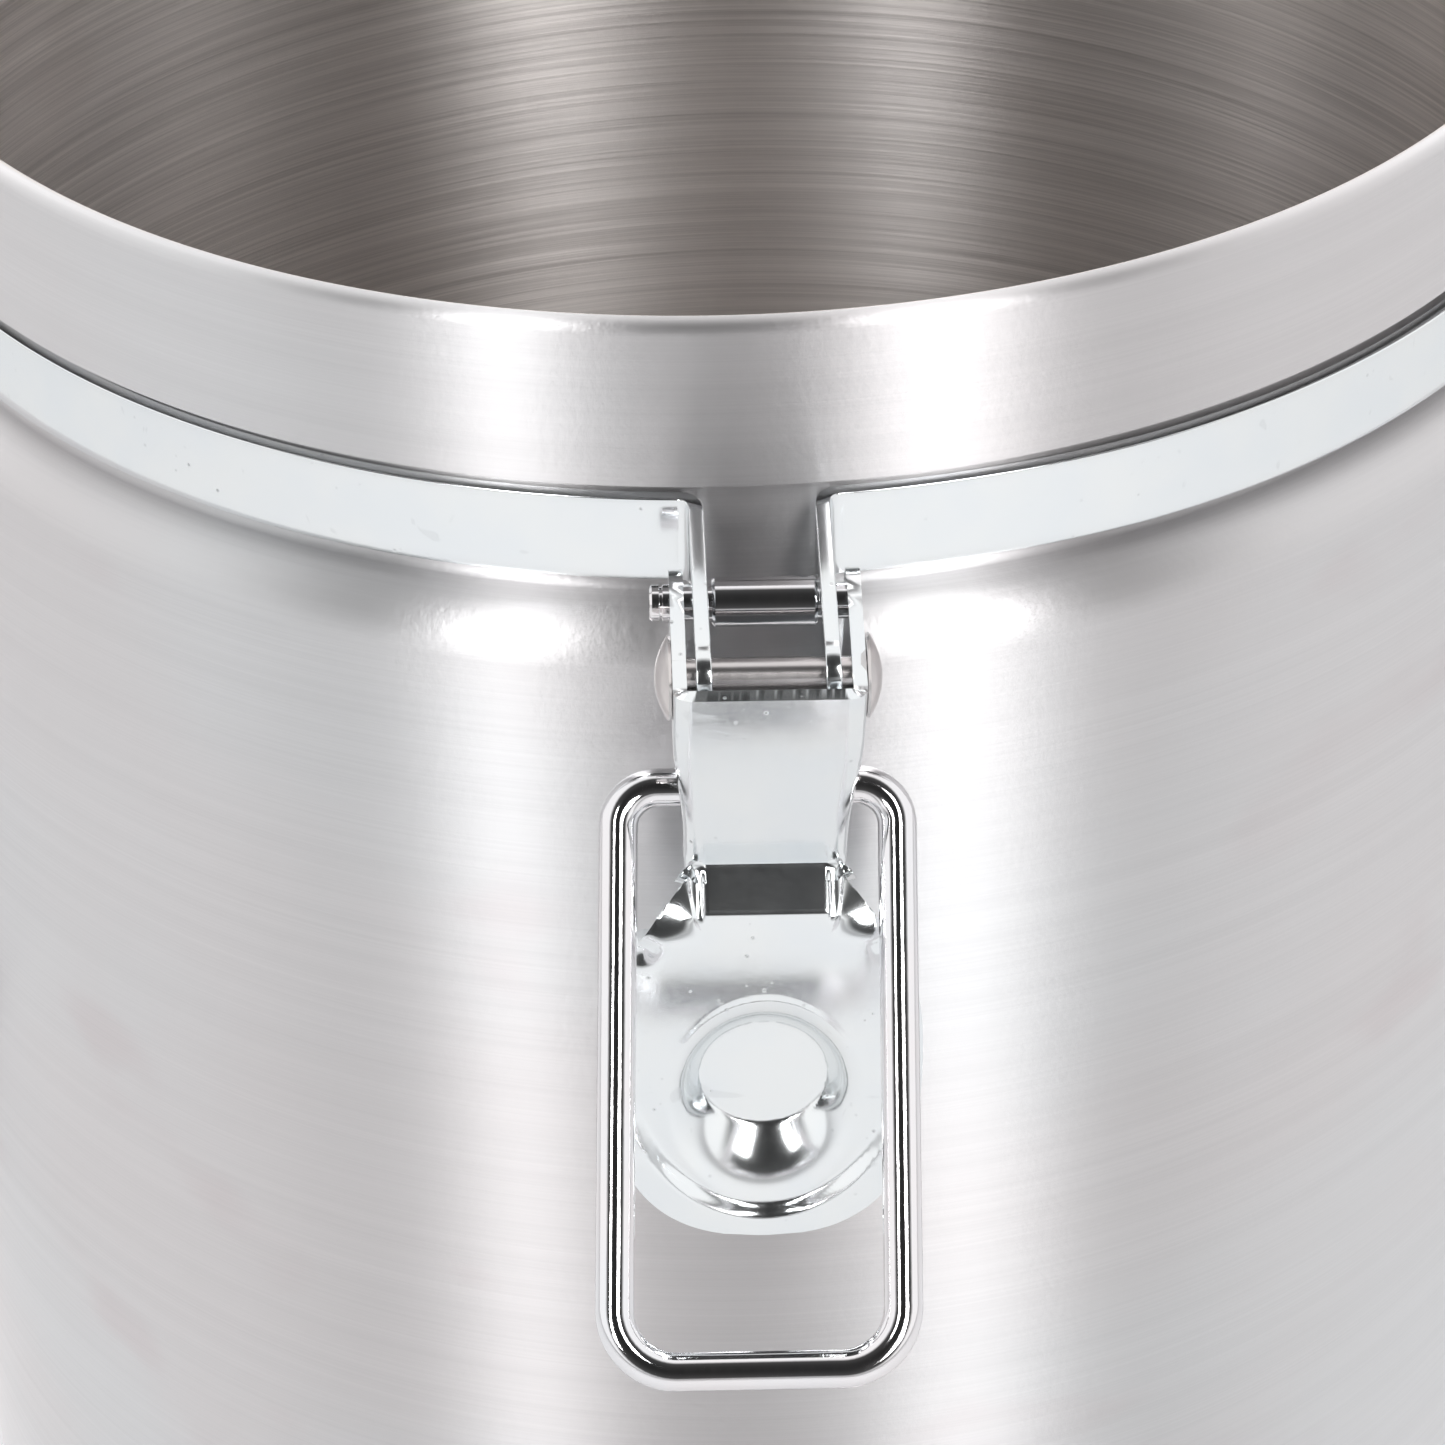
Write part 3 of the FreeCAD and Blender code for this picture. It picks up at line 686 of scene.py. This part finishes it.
def makeLever(look):
    t = look["sheet"] * mm
    dropTop, dropEnd, dropPad = look["top"][1], look["webEnd"][1], look["padTop"][1]
    dropBottom = look["bottom"][1]
    middle = (look["padOutlineTop"] + dropBottom) / 2
    halfHeight = dropBottom - middle

    def channelReach(drop):
        # the channel's straight front face, which leans towards the can as it goes down
        slope = (look["webEnd"][0] - look["top"][0]) / (dropEnd - dropTop)
        return look["top"][0] + slope * (drop - dropTop)

    def webReach(drop):
        # the channel's and the pad's front face, before the ramp is pressed
        above = channelReach(drop)
        return above + (look["padTop"][0] - above) * smoothStep(drop, dropEnd - 1.0, dropPad + 1.6)

    def rampReach(drop):
        # the flat, sharp-edged ramp in the middle
        share = max(0.0, min(1.0, (drop - dropEnd) / (dropPad - dropEnd)))
        start = look["webEnd"][0]
        return channelReach(drop) if drop < dropEnd else start + (look["padTop"][0] - start) * share

    def padEdge(drop):
        # half width of the pad's outline at this drop
        away = (drop - middle) / halfHeight
        return look["padHalfWidth"] * (1 - min(abs(away), 1.0) ** look["padRound"]) ** (1 / look["padRound"])

    def dish(x, drop):
        # a flat round floor and a wall, steep beside it, that eases out to an oval edge with a fine bead
        lift = look["dishFloorLift"]
        along = drop - look["dishDrop"] + lift
        around = max(sqrt(x * x + along * along), 1e-6)
        if around <= look["dishFloor"]:
            return -look["dishDepth"]
        way = (x / around, along / around)
        a = (way[0] / look["dishHalfWidth"]) ** 2 + (way[1] / look["dishHalfHeight"]) ** 2
        b = -2 * way[1] * lift / look["dishHalfHeight"] ** 2
        c = (lift / look["dishHalfHeight"]) ** 2 - 1
        outer = (-b + sqrt(b * b - 4 * a * c)) / (2 * a)
        share = (around - look["dishFloor"]) / (outer - look["dishFloor"])
        bead = look["dishBead"] * exp(-((around - outer) / look["beadWidth"]) ** 2)
        return bead - look["dishDepth"] * (1 - min(share, 1.0)) ** look["dishEase"]

    def dimple(x, drop):
        away = sqrt((abs(x) - look["dimple"][0]) ** 2 + (drop - look["dimple"][1]) ** 2)
        return -look["dimpleDepth"] * (1 - smoothStep(away, 0.3, look["dimpleRadius"]))

    def lipReach(x, drop):
        # below a crease that follows the outline the pad's edge turns outwards
        edge = sqrt((x / look["padHalfWidth"]) ** 2 + ((drop - middle) / halfHeight) ** 2)
        lower = smoothStep(drop, middle + look["lipStart"], middle + look["lipFull"])
        turned = smoothStep(edge, look["lipFrom"], look["lipTo"]) * lower
        return (look["bottom"][0] - look["lipReach"]) * turned

    # rows of points lie closer together where the sheet bends
    drops = []
    stops = [dropTop, dropEnd - 2.0, dropPad + 1.0, dropBottom - 6.0, dropBottom]
    for start, end, count in zip(stops, stops[1:], (20, 26, 110, 16)):
        drops += [start + (end - start) * k / count for k in range(count)]
    drops.append(dropBottom)

    pin = (-pinPlace.y / mm, (rim - pinPlace.z) / mm)
    bail = (-bailPivot.y / mm, (rim - bailPivot.z) / mm)

    def cheekOutline():
        # the inner edge of a cheek, from the top of the pin's lobe down to the shoulder
        points = []
        for k in range(21):
            a = radians(75 + 150 * k / 20)
            points.append((pin[0] + look["pinLobe"] * cos(a), pin[1] - look["pinLobe"] * sin(a)))
        for k in range(17):
            a = radians(165 + 105 * k / 16)
            points.append((bail[0] + look["bailLobe"] * cos(a), bail[1] - look["bailLobe"] * sin(a)))
        points.append((look["webEnd"][0] - 3.0, dropEnd + 0.6))
        return points

    outline = cheekOutline()
    lengths = [0.0]                             # along the outline, up to each of its points
    for a, b in zip(outline, outline[1:]):
        lengths.append(lengths[-1] + sqrt((a[0] - b[0]) ** 2 + (a[1] - b[1]) ** 2))

    def onOutline(share):
        aim = share * lengths[-1]
        for k in range(len(outline) - 1):
            if lengths[k + 1] >= aim:
                part = (aim - lengths[k]) / max(lengths[k + 1] - lengths[k], 1e-9)
                a, b = outline[k], outline[k + 1]
                return a[0] + (b[0] - a[0]) * part, a[1] + (b[1] - a[1]) * part
        return outline[-1]

    # one half of each row: across the front, round the bend, along the side
    columnsFlat, columnsBend, columnsSide = 30, 8, 14
    rows = []
    for drop in drops:
        flare = smoothStep(drop, dropEnd - 5.0, dropPad + 5.0)
        bend = radians(90) * (1 - flare)
        narrow = smoothStep(drop, dropTop + 8, dropEnd - 3)
        width = look["halfWidth"] + (look["neckHalfWidth"] - look["halfWidth"]) * narrow
        edge = padEdge(drop) if drop > dropPad - 4.5 else 0.0
        radius = look["sideBend"]
        flat = width - radius
        half = [(flat * k / columnsFlat, 0.0) for k in range(columnsFlat + 1)]
        for k in range(1, columnsBend + 1):
            a = bend * k / columnsBend
            if bend > 1e-4:
                half.append((flat + radius * sin(a), -radius * (1 - cos(a))))
            else:
                half.append((flat + radius * k / columnsBend, 0.0))
        if bend > 1e-4:
            joinX, joinY = flat + radius * sin(bend), -radius * (1 - cos(bend))
        else:
            joinX, joinY = flat + radius, 0.0
        base = webReach(drop)
        row = [(x, base + back, drop) for x, back in half]
        inner = onOutline(min((drop - dropTop) / (dropEnd + 1.0 - dropTop), 1.0))
        reachOut = max(edge - joinX, 0.4)
        for k in range(1, columnsSide + 1):
            part = k / columnsSide
            deep = base - radius
            channel = (width, deep + (inner[0] - deep) * part, drop + (inner[1] - drop) * part)
            wing = (joinX + reachOut * part * cos(bend), base + joinY - reachOut * part * sin(bend), drop)
            row.append(tuple(c + (w - c) * flare for c, w in zip(channel, wing)))
        rows.append(row)
    points = []
    for row, drop in zip(rows, drops):
        placed = []
        edge = max(padEdge(drop), 0.8)
        wide = max(x for x, _, _ in row)
        for x, reach, d in row:
            if drop > dropPad and wide > edge:
                x = x * edge / wide
            if x < look["rampHalfWidth"]:
                reach += rampReach(d) - webReach(d)
            elif x < look["rampHalfWidth"] + look["rampSide"]:
                left = 1 - (x - look["rampHalfWidth"]) / look["rampSide"]
                reach += (rampReach(d) - webReach(d)) * left
            if d > dropPad:
                reach += dish(x, d) + lipReach(x, d) + dimple(x, d)
            placed.append((x, reach, d))
        whole = [(-x, r, d) for x, r, d in placed[:0:-1]] + placed
        points.append([Vector((x * mm, -r * mm, rim - d * mm)) for x, r, d in whole])
    piece = grid("LatchLever", points, zinc)
    return thickened(piece, t, 1.0, 0.3 * mm, 42, False)


keep(hung(makeLever(pressedLever)), "lever", "zinc_plate", "lever")
print("lever ready")


# rivet, cross pin and sleeve

def headOutline(radius, height, start, sign, steps=12):
    # a domed rivet head, from its edge to its top
    ball = (radius * radius + height * height) / (2 * height)
    sweep = asin(radius / ball)
    points = []
    for k in range(steps + 1):
        a = sweep * (1 - k / steps)
        points.append((start + sign * (ball * cos(a) - (ball - height)), ball * sin(a)))
    return points


crossParts = {"rivetSeat": 12.42, "rivetHead": 2.1, "rivetHeadRadius": 5.5, "rivetShaft": 2.55,
              "pinLeft": 14.8, "pinRight": 12.3, "pinRadius": 2.35, "sleeveHalf": 6.8, "sleeveRadius": 3.25}


def makeRivet(look):
    seat, head = look["rivetSeat"] * mm, look["rivetHead"] * mm
    radius, shaft = look["rivetHeadRadius"] * mm, look["rivetShaft"] * mm
    rightHead = [(seat, radius - 0.25 * mm)] + headOutline(radius, head - 0.35 * mm, seat + 0.35 * mm, 1)
    outline = [(-a, r) for a, r in rightHead[::-1]] + [(-seat, shaft)] + [(seat, shaft)] + rightHead
    place = Vector((0, leverPivot.y, leverPivot.z))
    return turnedOn("LeverRivet", place, (1, 0, 0), outline, [fastener], 72, 50)


def makePin(look):
    # its left end is hollow, with a fine groove behind
    left, right, r, e = -look["pinLeft"] * mm, look["pinRight"] * mm, look["pinRadius"] * mm, 0.3 * mm
    outline = [(left + 1.4 * mm, 0.0), (left + 1.4 * mm, 1.15 * mm), (left, 1.3 * mm), (left, r - e),
               (left + e, r), (left + 1.2 * mm, r), (left + 1.3 * mm, r - e), (left + 1.6 * mm, r - e),
               (left + 1.7 * mm, r), (right - e, r), (right, r - e), (right, 0.0)]
    return turnedOn("StopPin", pinPlace, (1, 0, 0), outline, [polished], 64, 30)


def makeSleeve(look):
    half, r, e = look["sleeveHalf"] * mm, look["sleeveRadius"] * mm, 0.4 * mm
    outline = [(-half, 0.0), (-half, r - e), (e - half, r), (half - e, r), (half, r - e), (half, 0.0)]
    return turnedOn("StopSleeve", pinPlace, (1, 0, 0), outline, [polished], 72, 30)


keep(hung(makeRivet(crossParts)), "can", "stainless_fastener", "lever_rivet")
keep(hung(makePin(crossParts)), "lever", "polished_wire", "stop_pin")
keep(hung(makeSleeve(crossParts)), "lever", "polished_wire", "stop_sleeve")


# bail: one length of polished wire

wireBail = {"radius": 2.55, "length": 75.7, "lean": 42.0, "halfWidth": 18.2, "splay": 0.5, "corner": 8.0,
            "turnIn": 5.2, "tail": 10.2, "shift": -0.85, "drift": -1.4}


def makeBail(look):
    lean = radians(look["lean"])
    foot = bailPivot + Vector((0, -sin(lean), -cos(lean))) * look["length"] * mm
    wide = (look["halfWidth"] + look["splay"]) * mm
    high = Vector((look["shift"] * mm, 0, 0))
    low = Vector(((look["shift"] + look["drift"]) * mm, 0, 0))
    corners = []
    for side in (-1, 1):
        ends = [bailPivot + high + Vector((side * look["tail"] * mm, 0, 0)),
                bailPivot + high + Vector((side * look["halfWidth"] * mm, 0, 0)),
                foot + low + Vector((side * wide, 0, 0))]
        corners += ends if side < 0 else ends[::-1]
    bends = [look["turnIn"] * mm, look["corner"] * mm, look["corner"] * mm, look["turnIn"] * mm]
    return tube("BailWire", roundedPath(corners, bends, 16), look["radius"] * mm, polished)


keep(hung(makeBail(wireBail)), "bail", "polished_wire", "bail")
print("latch ready")


# lid and its seal, drawn closed and turned to where the frame holds them open

lidLook = {"skirtInside": 129.6, "skirtDrop": 6.0, "ringRise": 5.0, "crownRise": 8.7, "crown": 95.0,
           "step": 106.0, "edgeBend": 2.0, "stepBend": 4.0, "sheet": 1.0, "open": 115.0}


def openLid(piece):
    turn = Matrix.Translation(hingePlace) @ Matrix.Rotation(-radians(lidLook["open"]), 4, "X")
    piece.data.transform(turn @ Matrix.Translation(-hingePlace))
    return piece


def makeLid(look):
    t = look["sheet"] * mm
    outside = look["skirtInside"] * mm + t
    ring, crown = rim + look["ringRise"] * mm, rim + look["crownRise"] * mm
    corners = [(outside, rim - look["skirtDrop"] * mm), (outside, ring), (look["step"] * mm, ring),
               (look["crown"] * mm, crown), (0.0, crown)]
    right, left = sheetRing(corners, [look["edgeBend"] * mm] + [look["stepBend"] * mm] * 2, t, 10)
    return lathed("Lid", right + left, [outerSteel], 256, None, 40)


seal = {"inside": 121.0, "outside": 128.4, "low": 0.4, "high": 3.95, "edge": 0.5}


def makeGasket(look):
    ring = []
    inside, outside, e = look["inside"] * mm, look["outside"] * mm, look["edge"] * mm
    low, high = rim + look["low"] * mm, rim + look["high"] * mm
    for x, z, turns in ((outside, low, (-0.5, 0.0)), (outside, high, (0.0, 0.5)), (inside, high, (0.5, 1.0)),
                        (inside, low, (1.0, 1.5))):
        cx = x - e if x == outside else x + e
        cz = z + e if z == low else z - e
        for k in range(5):
            a = pi * (turns[0] + (turns[1] - turns[0]) * k / 4)
            ring.append(Vector((cx + e * cos(a), 0, cz + e * sin(a))))
    return lathed("LidGasket", ring, [silicone], 200, None, 50)


keep(openLid(makeLid(lidLook)), "lid", "satin_steel", "lid")
keep(openLid(makeGasket(seal)), "lid", "silicone", "lid_gasket")
print("lid ready")


# drop handles of round rod

handleRod = {"halfSpan": 55.0, "taper": 4.0, "topBend": 9.0, "lowBend": 18.0}


def makeHandle(name, node, look):
    low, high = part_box(node)
    radius = (high.x - low.x) / 2
    x = (low.x + high.x) / 2
    top, foot = jointPlace[node + "_swing"].z, low.z + radius
    span, footSpan = look["halfSpan"] * mm, (look["halfSpan"] - look["taper"]) * mm
    corners = [(x, 0, top), (x, span, top), (x, footSpan, foot), (x, -footSpan, foot), (x, -span, top),
               (x, 0, top)]
    bends = [look["topBend"] * mm, look["lowBend"] * mm, look["lowBend"] * mm, look["topBend"] * mm]
    path = roundedPath(corners, bends, 12)
    return tube(name, path[:-1], radius, polished, True, 40)


for name, node in (("HandleLeft", "handle_left"), ("HandleRight", "handle_right")):
    keep(makeHandle(name, node, handleRod), node, "polished_wire", node)


# rivets: four to a handle bracket, two through the lid's strap

bracketRivet = {"radius": 4.2, "height": 1.8, "foot": 136.67, "turn": 11.0, "lift": 11.0, "drop": 120.0}
strapRivet = {"radius": 5.5, "height": 2.4, "underRadius": 5.0, "underHeight": 1.6, "shank": 3.0,
              "low": 7.68, "high": 11.77, "away": 60.0}


def bracketRivets(name, side, look):
    places, ways = [], []
    for turn in (-look["turn"], look["turn"]):
        way = Vector((side * cos(radians(turn)), sin(radians(turn)), 0))
        for lift in (-look["lift"], look["lift"]):
            places.append(way * look["foot"] * mm + Vector((0, 0, rim + (lift - look["drop"]) * mm)))
            ways.append(way)
    outline = [(0.0, 0.0)] + headOutline(look["radius"] * mm, look["height"] * mm, 0.0, 1)
    return riveted(name, outline, places, ways, fastener)


def strapRivets(look):
    low, high = look["low"] * mm, look["high"] * mm
    below = headOutline(look["underRadius"] * mm, look["underHeight"] * mm, low, -1)
    above = headOutline(look["radius"] * mm, look["height"] * mm, high, 1)
    outline = below[::-1] + [(low, look["shank"] * mm), (high, look["shank"] * mm)] + above
    places = [Vector((0, side * look["away"] * mm, rim)) for side in (-1, 1)]
    return riveted("StrapRivets", outline, places, [Vector((0, 0, 1))] * 2, fastener)


for name, side, node in (("BracketRivetsLeft", -1, "bracket_rivets_left"),
                         ("BracketRivetsRight", 1, "bracket_rivets_right")):
    keep(bracketRivets(name, side, bracketRivet), "can", "stainless_fastener", node)
keep(openLid(strapRivets(strapRivet)), "lid", "stainless_fastener", "strap_rivets")

for node, finish in (("lid_strap", strip), ("handle_bracket_left", strip), ("handle_bracket_right", strip),
                     ("hinge_bush", strip), ("hinge_bolt", fastener), ("hinge_nut", fastener),
                     ("hinge_washers", fastener)):
    for slot in nodes[node].material_slots:
        slot.material = finish
print("handles and hinge ready")


# floor, light and camera

def makeStage():
    f = Finish("paleFloor")
    cloud = f.noise(f.stretched((1.5, 1.5, 1.5)), 1.0, 3.0, 0.5)
    material = f.surface(Base_Color=f.blend(cloud, (0.80, 0.80, 0.81), (0.83, 0.83, 0.83)), Roughness=0.6)
    mesh = bpy.data.meshes.new("Floor")
    half = 6.0
    corners = [(-half, -half, 0), (half, -half, 0), (half, half, 0), (-half, half, 0)]
    mesh.from_pydata(corners, [], [(0, 1, 2, 3)])
    floor = newPiece("Floor", mesh, material)


makeStage()

# softbox: bearing from the front, width, top and foot in degrees seen from the mouth, and brightness
studio = {"distance": 1.8, "softboxes": [(-29.5, 10.0, 52.0, 16.0, 11.5), (24.5, 16.0, 52.0, 16.0, 9.5)],
          "back": {"place": (0.0, 2.4, 1.9), "width": 3.4, "height": 1.6, "brightness": 1.1},
          "sky": [(0.0, 1.0), (0.58, 1.0), (0.74, 0.07), (1.0, 0.02)], "darkWay": (0.0, -0.70, 0.72),
          "strength": 1.06}


def softbox(name, place, aim, width, height, brightness):
    data = bpy.data.lights.new(name, "AREA")
    data.shape = "RECTANGLE"
    data.size = width
    data.size_y = height
    data.energy = brightness * pi * width * height
    lamp = bpy.data.objects.new(name, data)
    lamp.location = place
    lamp.rotation_euler = (Vector(aim) - Vector(place)).to_track_quat("-Z", "Y").to_euler()
    lamp.visible_camera = False
    bpy.context.scene.collection.objects.link(lamp)


def lightStage(look):
    target = Vector((0, 0, rim - 0.05))
    away = look["distance"]
    for index, (bearing, width, high, low, brightness) in enumerate(look["softboxes"]):
        turn = radians(bearing)
        top, foot = (away * tan(radians(end)) for end in (high, low))
        aim = target + Vector((0, 0, (top + foot) / 2))
        place = aim + Vector((sin(turn), -cos(turn), 0)) * away
        wide = 2 * away * tan(radians(width / 2))
        softbox("Softbox%d" % (index + 1), place, aim, wide, top - foot, brightness)
    back = look["back"]
    softbox("BackGlow", back["place"], target, back["width"], back["height"], back["brightness"])


def studioSky(look):
    # pale all round, with a dark patch high in front
    world = bpy.data.worlds.new("Studio")
    bpy.context.scene.world = world
    world.use_nodes = True
    tree = world.node_tree
    tree.nodes.clear()
    place = tree.nodes.new("ShaderNodeTexCoord")
    part = tree.nodes.new("ShaderNodeVectorMath")
    part.operation = "DOT_PRODUCT"
    part.inputs[1].default_value = Vector(look["darkWay"]).normalized()
    ramp = tree.nodes.new("ShaderNodeValToRGB")
    while len(ramp.color_ramp.elements) < len(look["sky"]):
        ramp.color_ramp.elements.new(0.5)
    for element, (position, value) in zip(ramp.color_ramp.elements, look["sky"]):
        element.position = position
        element.color = (value, value, value, 1.0)
    back = tree.nodes.new("ShaderNodeBackground")
    back.inputs["Strength"].default_value = look["strength"]
    out = tree.nodes.new("ShaderNodeOutputWorld")
    tree.links.new(place.outputs["Generated"], part.inputs[0])
    tree.links.new(part.outputs["Value"], ramp.inputs["Fac"])
    tree.links.new(ramp.outputs["Color"], back.inputs["Color"])
    tree.links.new(back.outputs["Background"], out.inputs["Surface"])


lightStage(studio)
studioSky(studio)

# angles in degrees, distance from the middle of the mouth
view = {"distance": 0.75, "above": 25.28, "around": -1.4, "down": 9.46, "side": -0.05, "roll": 1.55,
        "lens": 125.1}


def placeCamera(look):
    around, above = radians(look["around"]), radians(look["above"])
    place = Vector((sin(around) * cos(above), -cos(around) * cos(above), sin(above))) * look["distance"]
    ahead = -place.normalized()
    right = ahead.cross(Vector((0, 0, 1))).normalized()
    up = right.cross(ahead)
    roll = radians(look["roll"])
    axes = Matrix((right, up, ahead))
    rolled = Matrix(((cos(roll), -sin(roll), 0), (sin(roll), cos(roll), 0), (0, 0, 1))) @ axes
    aim = Vector((tan(radians(look["side"])), tan(radians(look["down"])), 1.0)).normalized()
    tip = Vector((0, 0, 1)).rotation_difference(aim).to_matrix()
    seen = tip @ rolled
    data = bpy.data.cameras.new("View")
    data.sensor_width = 36.0
    data.lens = look["lens"]
    data.clip_start = 0.01
    camera = bpy.data.objects.new("View", data)
    frameAxes = Matrix((seen[0], seen[1], -seen[2])).transposed().to_4x4()
    camera.matrix_world = Matrix.Translation(place + Vector((0, 0, rim))) @ frameAxes
    bpy.context.scene.collection.objects.link(camera)
    bpy.context.scene.camera = camera


placeCamera(view)
bpy.context.scene.view_settings.view_transform = "Standard"

print("scene ready")
